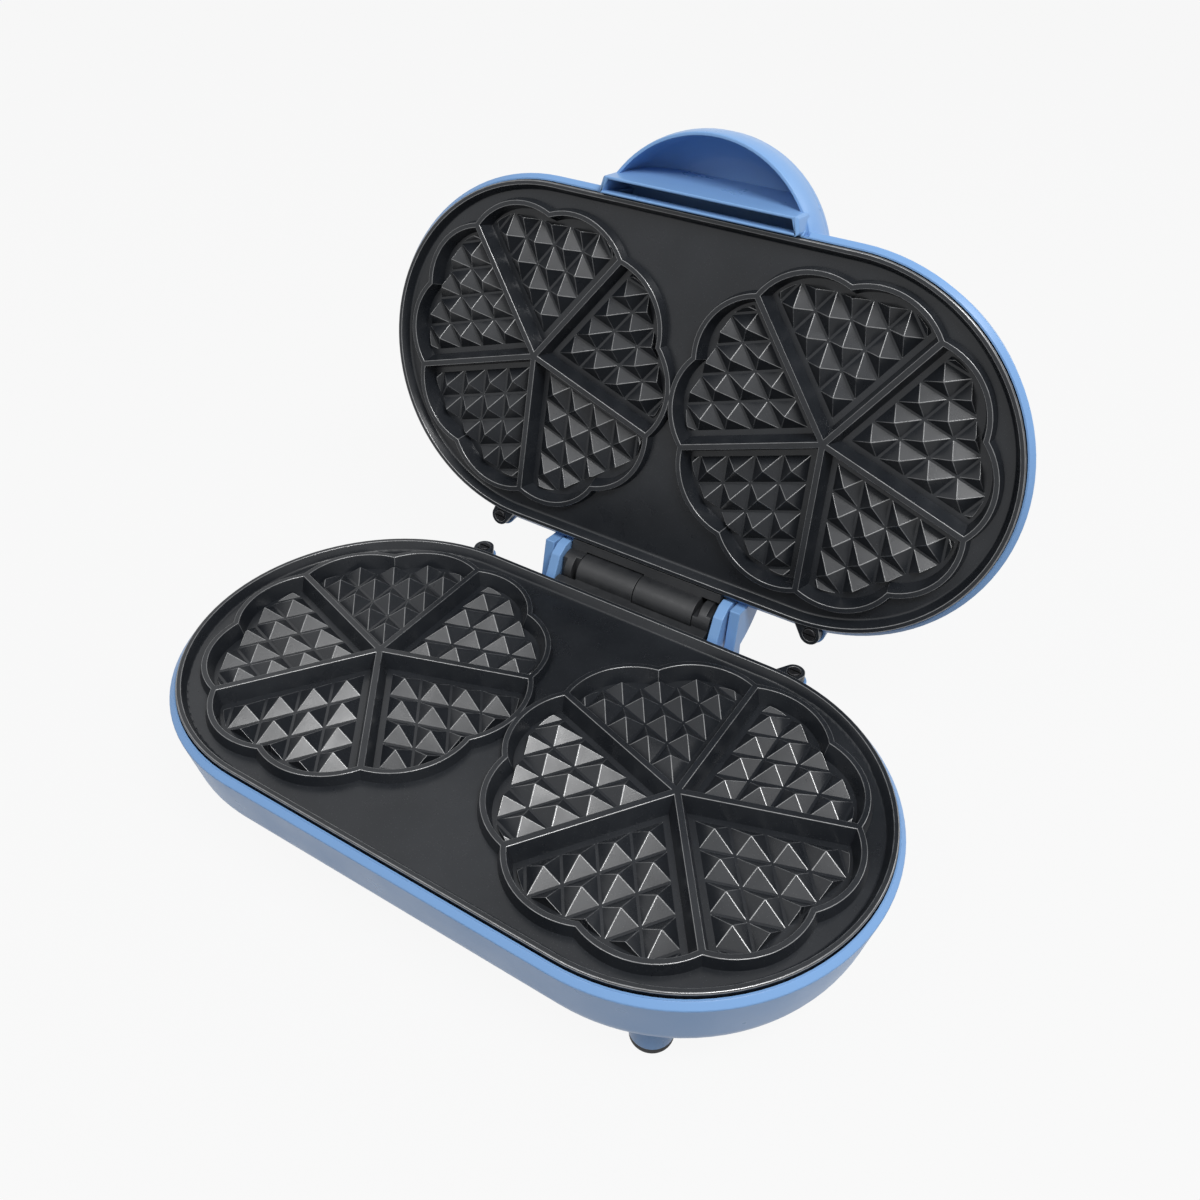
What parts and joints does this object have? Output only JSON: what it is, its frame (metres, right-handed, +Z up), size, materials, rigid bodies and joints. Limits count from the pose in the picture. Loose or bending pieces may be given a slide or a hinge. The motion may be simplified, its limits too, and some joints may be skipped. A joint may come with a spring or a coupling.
{
  "type": "double waffle maker",
  "caption": "Countertop double waffle maker: stadium-shaped base and hinged lid, heart-mould baking plates, half-round handle, lid standing open.",
  "frame": {"origin": "on the floor, under the middle of the open maker", "axes": "+X along the two moulds, +Y to the hinge at the back, +Z up"},
  "size_m": [0.2864, 0.231, 0.233],
  "materials": {
    "housing_blue": "satin moulded plastic",
    "hinge_black": "fine grained moulded plastic",
    "plate_coating": "non-stick coating on a casting",
    "screw_steel": "zinc plated",
    "screw_black": "black oxide",
    "sheet_aluminium": "bright sheet",
    "heater_steel": "heat tinted steel sheath",
    "ceramic_white": "steatite",
    "lead_sleeve": "woven glass sleeve",
    "foot_rubber": "matt",
    "lamp_lens": "clear coloured",
    "lamp_glass": "clear"
  },
  "bodies": {
    "base": {"base_shell": "housing_blue", "foot_pads": "foot_rubber", "lower_plate": "plate_coating", "lower_heater": "heater_steel", "lower_heater_clips": "screw_steel", "lower_clip_screws": "screw_steel", "lower_reflector": "sheet_aluminium", "lower_reflector_screws": "screw_steel", "lower_thermostat": "ceramic_white", "lower_thermostat_screws": "screw_steel", "lower_lug_screws": "screw_black", "hinge_block_base": "hinge_black", "hinge_screws_base": "screw_steel", "hinge_pin": "screw_steel", "terminal_block": "ceramic_white", "terminal_screws": "screw_steel", "cord_gland": "hinge_black", "gland_nut": "hinge_black", "cord_clamp": "hinge_black", "clamp_screws": "screw_steel", "thermal_fuse": "screw_steel", "base_leads": "lead_sleeve"},
    "lid": {"lid_shell": "housing_blue", "upper_plate": "plate_coating", "upper_heater": "heater_steel", "upper_heater_clips": "screw_steel", "upper_clip_screws": "screw_steel", "upper_reflector": "sheet_aluminium", "upper_reflector_screws": "screw_steel", "upper_thermostat": "ceramic_white", "upper_thermostat_screws": "screw_steel", "upper_lug_screws": "screw_black", "hinge_block_lid": "hinge_black", "hinge_screws_lid": "screw_steel", "lamp_lenses": "lamp_lens", "pilot_lamps": "lamp_glass", "lamp_holder": "hinge_black", "holder_screw": "screw_steel", "lid_leads": "lead_sleeve"}
  },
  "joints": [
    {"name": "lid_hinge", "type": "hinge", "parent": "base", "child": "lid", "pos_m": [0, 0.04801, 0.046], "axis": [1, 0, 0], "range_deg": [0, 101]}
  ]
}
